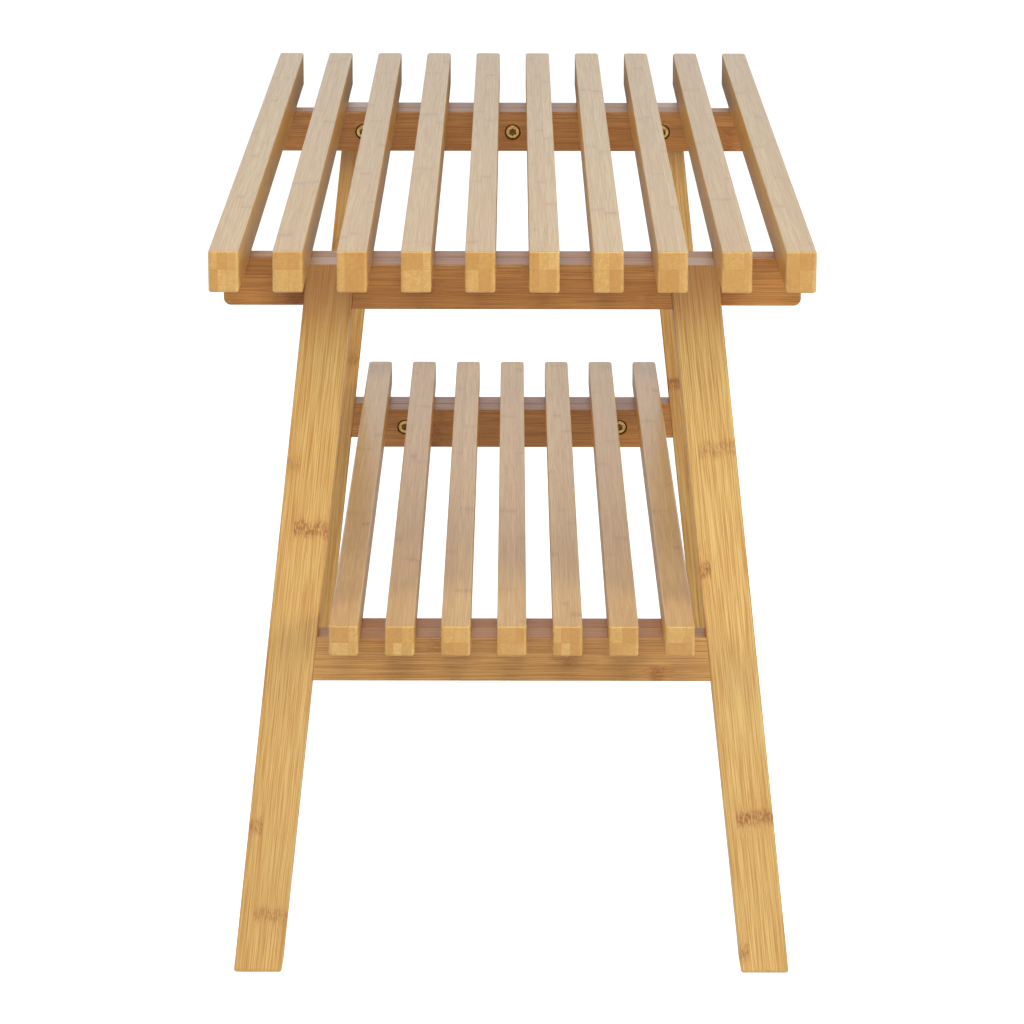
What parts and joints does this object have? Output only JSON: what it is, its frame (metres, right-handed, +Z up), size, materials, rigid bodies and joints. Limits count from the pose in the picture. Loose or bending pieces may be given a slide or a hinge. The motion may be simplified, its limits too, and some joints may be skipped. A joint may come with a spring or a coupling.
{
  "type": "slatted bench",
  "caption": "Slatted bamboo entryway bench: lengthwise seat slats on splayed and raked leg frames, with a lower slatted shelf held by bolted bearers.",
  "frame": {"origin": "on the floor, under the middle of the seat", "axes": "+X along the bench towards its right end, +Y across it towards the back, +Z up"},
  "size_m": [0.8, 0.36, 0.473],
  "materials": {
    "bamboo_slats": "satin clear lacquer over laminated bamboo",
    "bamboo_frame": "satin clear lacquer over laminated bamboo",
    "dowel_wood": "unfinished fluted hardwood",
    "yellow_bolts": "yellow zinc plating, semi-gloss",
    "insert_steel": "plain zinc",
    "screw_steel": "pale zinc"
  },
  "bodies": {
    "root": {"seat_slat_01": "bamboo_slats", "seat_slat_02": "bamboo_slats", "seat_slat_03": "bamboo_slats", "seat_slat_04": "bamboo_slats", "seat_slat_05": "bamboo_slats", "seat_slat_06": "bamboo_slats", "seat_slat_07": "bamboo_slats", "seat_slat_08": "bamboo_slats", "seat_slat_09": "bamboo_slats", "seat_slat_10": "bamboo_slats", "shelf_slat_1": "bamboo_slats", "shelf_slat_2": "bamboo_slats", "shelf_slat_3": "bamboo_slats", "shelf_slat_4": "bamboo_slats", "shelf_slat_5": "bamboo_slats", "shelf_slat_6": "bamboo_slats", "shelf_slat_7": "bamboo_slats", "leg_front_right": "bamboo_frame", "leg_front_left": "bamboo_frame", "leg_back_right": "bamboo_frame", "leg_back_left": "bamboo_frame", "top_rail_right": "bamboo_frame", "top_rail_left": "bamboo_frame", "shelf_rail_right": "bamboo_frame", "shelf_rail_left": "bamboo_frame", "seat_bearer_right": "bamboo_frame", "seat_bearer_left": "bamboo_frame", "shelf_bearer_right": "bamboo_frame", "shelf_bearer_left": "bamboo_frame", "leg_joint_dowels": "dowel_wood", "seat_bearer_bolts": "yellow_bolts", "shelf_bearer_bolts": "yellow_bolts", "threaded_inserts": "insert_steel", "seat_slat_screws": "screw_steel", "shelf_slat_screws": "screw_steel"}
  },
  "joints": []
}
